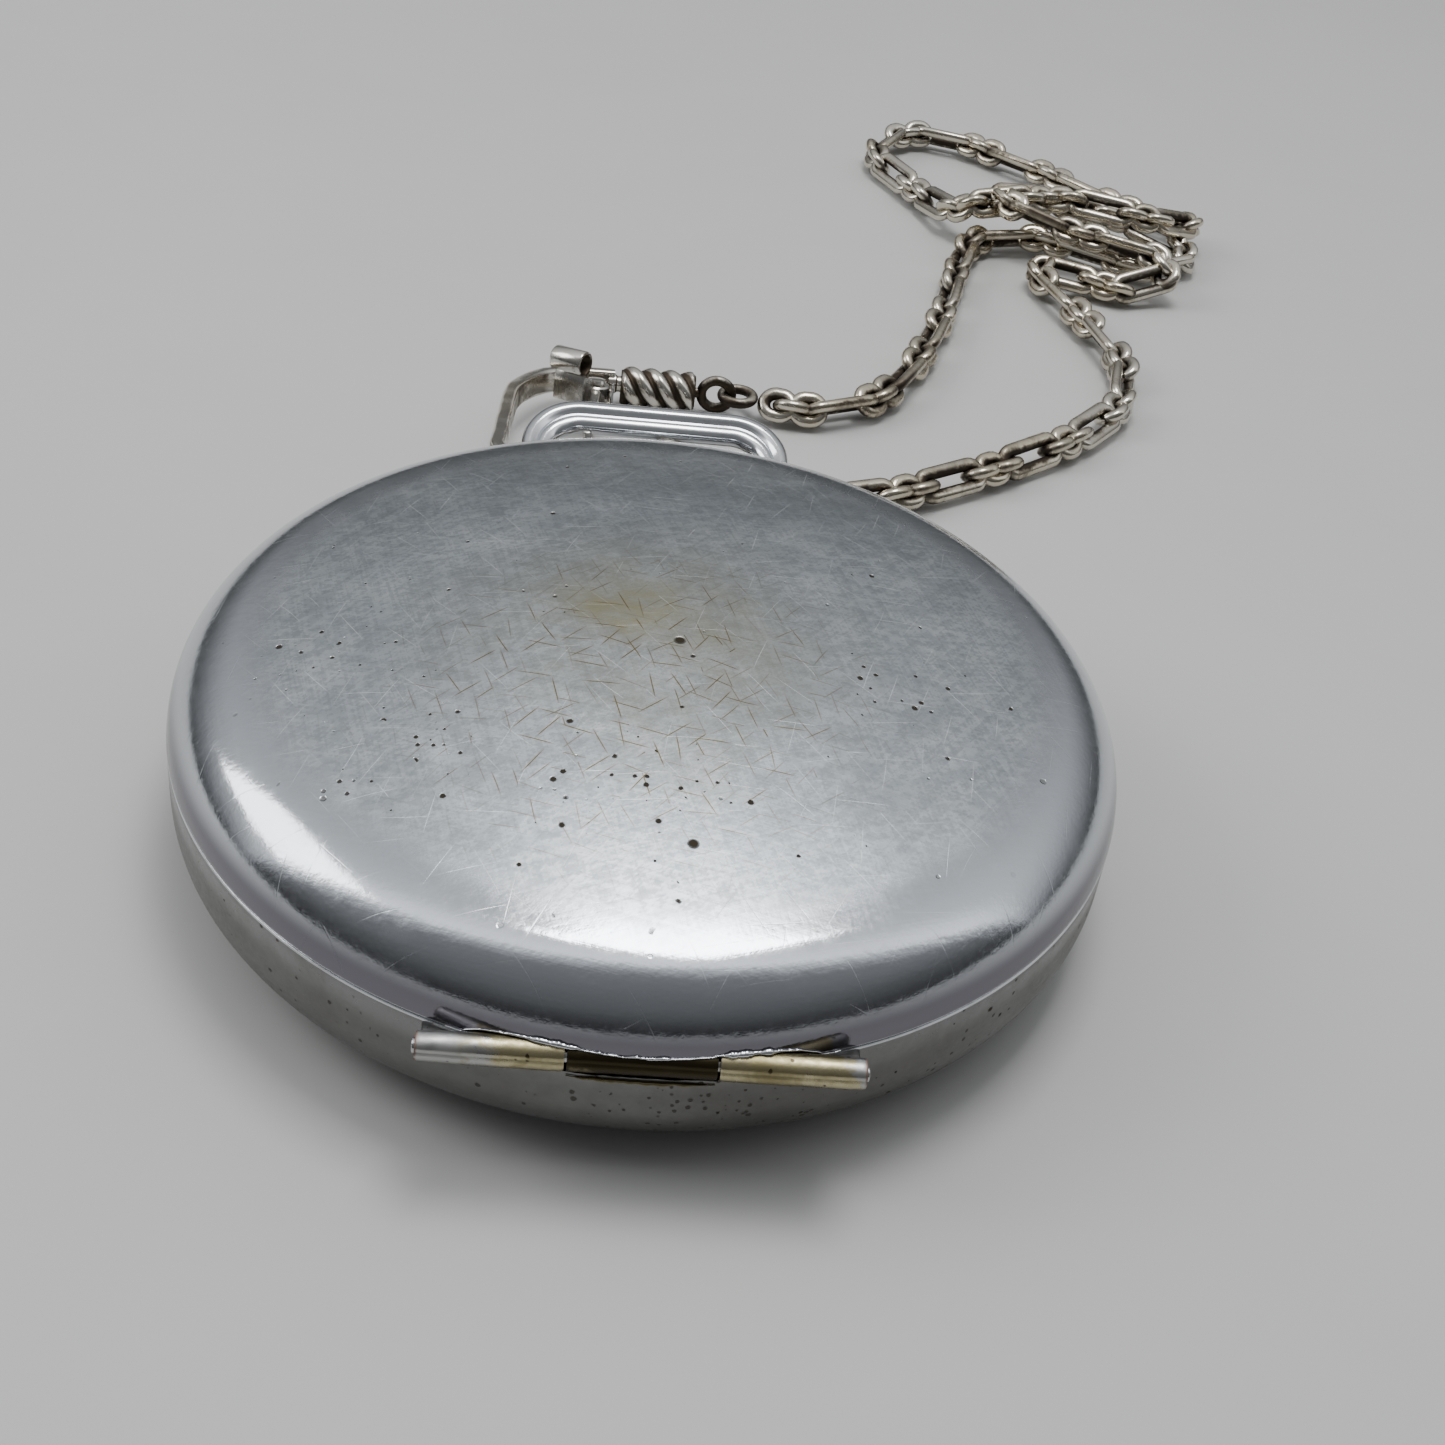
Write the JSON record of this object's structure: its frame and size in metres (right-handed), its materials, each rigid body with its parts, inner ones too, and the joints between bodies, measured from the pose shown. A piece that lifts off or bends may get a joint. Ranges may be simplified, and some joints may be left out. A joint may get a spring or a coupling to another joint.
{
  "type": "pocket watch",
  "caption": "Hinged-lid pocket watch in a round plated case, with crown, bow, dial, hands, going train, swivel clasp and link chain.",
  "frame": {"origin": "middle of the flat foot under the case, on the surface the watch lies on", "axes": "+Z out of the dial through the lid, +Y towards 12 o'clock and the bow, +X towards 3 o'clock"},
  "size_m": [0.0754, 0.1304, 0.0144],
  "materials": {
    "case_chrome": "worn satin plating",
    "lid_chrome": "worn satin plating with scratches",
    "hinge_brass": "rubbed plating with brass showing",
    "steel": "ground",
    "bow_chrome": "polished",
    "glass": "clear",
    "dial_enamel": "enamel",
    "marker_ink": "gloss",
    "hand_steel": "blued",
    "movement_brass": "brushed",
    "winding_steel": "polished",
    "clasp_metal": "worn nickel",
    "chain_silver": "tarnished silver"
  },
  "bodies": {
    "case": {"balance_cock": "movement_brass", "barrel_bridge": "movement_brass", "bezel": "bow_chrome", "bridge_screws": "winding_steel", "case_body": "case_chrome", "case_knuckles": "hinge_brass", "case_screws": "winding_steel", "chain_far": "chain_silver", "chain_loop": "chain_silver", "chain_near": "chain_silver", "chain_pile": "chain_silver", "clasp_barrel": "clasp_metal", "clasp_hook": "clasp_metal", "clasp_ring": "clasp_metal", "crown_wheel_screw": "winding_steel", "crystal": "glass", "dial": "dial_enamel", "gate_pin": "steel", "gate_spring": "steel", "hairspring": "steel", "hinge_pin": "steel", "hour_markers": "marker_ink", "main_plate": "movement_brass", "mainspring": "steel", "movement_ring": "movement_brass", "pendant": "bow_chrome", "t_bar": "chain_silver", "t_bar_ring": "chain_silver", "train_bridge": "movement_brass"},
    "lid": {"lid": "lid_chrome", "lid_knuckle": "hinge_brass"},
    "bow": {"bow": "bow_chrome"},
    "stem_slide": {"stem_collar": "steel"},
    "crown": {"crown": "bow_chrome", "stem": "steel", "winding_pinion": "steel"},
    "catch": {"catch_spring": "steel"},
    "fourth": {"fourth_wheel": "movement_brass", "seconds_hand": "hand_steel"},
    "third": {"third_wheel": "movement_brass"},
    "centre": {"centre_wheel": "movement_brass", "cannon_pinion": "steel", "minute_hand": "hand_steel"},
    "barrel": {"mainspring_barrel": "movement_brass"},
    "escape": {"escape_wheel": "steel"},
    "minute_wheel": {"minute_wheel": "movement_brass"},
    "hour": {"hour_wheel": "movement_brass", "hour_hand": "hand_steel"},
    "pallet": {"pallet_fork": "steel"},
    "balance": {"balance_wheel": "movement_brass"},
    "crown_wheel": {"crown_wheel": "winding_steel"},
    "ratchet": {"ratchet_wheel": "winding_steel", "barrel_arbor": "steel"},
    "gate": {"clasp_gate": "clasp_metal"},
    "swivel": {"swivel_eye": "clasp_metal"},
    "click": {"click": "steel"}
  },
  "joints": [
    {"name": "lid_hinge", "type": "hinge", "parent": "case", "child": "lid", "pos_m": [0, -0.0245, 0.0076], "axis": [1, 0, 0], "range_deg": [0, 100]},
    {"name": "bow_swing", "type": "hinge", "parent": "case", "child": "bow", "pos_m": [0, 0.0263, 0.0049], "axis": [1, 0, 0], "range_deg": [-1, 20]},
    {"name": "stem_pull", "type": "slide", "parent": "case", "child": "stem_slide", "axis": [0, 1, 0], "range_m": [-0.0002, 0.0009]},
    {"name": "crown_turn", "type": "hinge", "parent": "stem_slide", "child": "crown", "pos_m": [0, 0, 0.0049], "axis": [0, 1, 0], "continuous": true},
    {"name": "catch_flex", "type": "hinge", "parent": "case", "child": "catch", "pos_m": [0.01576, 0.0175, 0.0061], "axis": [0, 0, 1], "range_deg": [0, 0.9], "stiffness_Nm_per_rad": 0.02},
    {"name": "fourth_turn", "type": "hinge", "parent": "case", "child": "fourth", "pos_m": [0, -0.0105, 0.0034], "axis": [0, 0, -1], "continuous": true},
    {"name": "third_turn", "type": "hinge", "parent": "case", "child": "third", "pos_m": [0.00356, -0.00573, 0.004], "axis": [0, 0, -1], "continuous": true},
    {"name": "centre_turn", "type": "hinge", "parent": "case", "child": "centre", "pos_m": [0, 0, 0.00475], "axis": [0, 0, -1], "continuous": true},
    {"name": "barrel_turn", "type": "hinge", "parent": "case", "child": "barrel", "pos_m": [-0.00719, 0.00542, 0.00325], "axis": [0, 0, -1], "continuous": true},
    {"name": "escape_turn", "type": "hinge", "parent": "case", "child": "escape", "pos_m": [-0.00446, -0.0117, 0.00435], "axis": [0, 0, -1], "continuous": true},
    {"name": "minute_wheel_turn", "type": "hinge", "parent": "case", "child": "minute_wheel", "pos_m": [0.00312, 0.0018, 0.0064], "axis": [0, 0, -1], "continuous": true},
    {"name": "hour_turn", "type": "hinge", "parent": "case", "child": "hour", "pos_m": [0, 0, 0.00735], "axis": [0, 0, -1], "continuous": true},
    {"name": "pallet_rock", "type": "hinge", "parent": "case", "child": "pallet", "pos_m": [-0.00748, -0.00983, 0.0043], "axis": [0, 0, 1], "range_deg": [-4, 4]},
    {"name": "balance_swing", "type": "hinge", "parent": "case", "child": "balance", "pos_m": [-0.0114, -0.0074, 0.0043], "axis": [0, 0, 1], "range_deg": [-270, 270]},
    {"name": "crown_wheel_turn", "type": "hinge", "parent": "case", "child": "crown_wheel", "pos_m": [-0.00009, 0.00911, 0.00225], "axis": [0, 0, 1], "continuous": true},
    {"name": "ratchet_turn", "type": "hinge", "parent": "case", "child": "ratchet", "pos_m": [-0.00719, 0.00542, 0.00225], "axis": [0, 0, 1], "continuous": true},
    {"name": "click_lift", "type": "hinge", "parent": "case", "child": "click", "pos_m": [-0.01308, 0.00267, 0.00225], "axis": [0, 0, 1], "range_deg": [0, 8], "stiffness_Nm_per_rad": 0.0005},
    {"name": "gate_open", "type": "hinge", "parent": "case", "child": "gate", "pos_m": [-0.0042, 0.04399, 0.00269], "axis": [0, 0.2334, 0.9724], "range_deg": [-5, 0], "stiffness_Nm_per_rad": 0.01},
    {"name": "eye_swivel", "type": "hinge", "parent": "case", "child": "swivel", "pos_m": [0, 0.0473, 0.0016], "axis": [1, 0, 0], "range_deg": [-20, 20]}
  ],
  "couplings": [
    {"joint": "third_turn", "follows": "fourth_turn", "ratio": -0.13333},
    {"joint": "centre_turn", "follows": "fourth_turn", "ratio": 0.016667},
    {"joint": "barrel_turn", "follows": "fourth_turn", "ratio": -0.0020833},
    {"joint": "escape_turn", "follows": "fourth_turn", "ratio": -10},
    {"joint": "minute_wheel_turn", "follows": "fourth_turn", "ratio": -0.0055556},
    {"joint": "hour_turn", "follows": "fourth_turn", "ratio": 0.0013889},
    {"joint": "crown_wheel_turn", "follows": "crown_turn", "ratio": -0.4},
    {"joint": "ratchet_turn", "follows": "crown_turn", "ratio": 0.24}
  ]
}
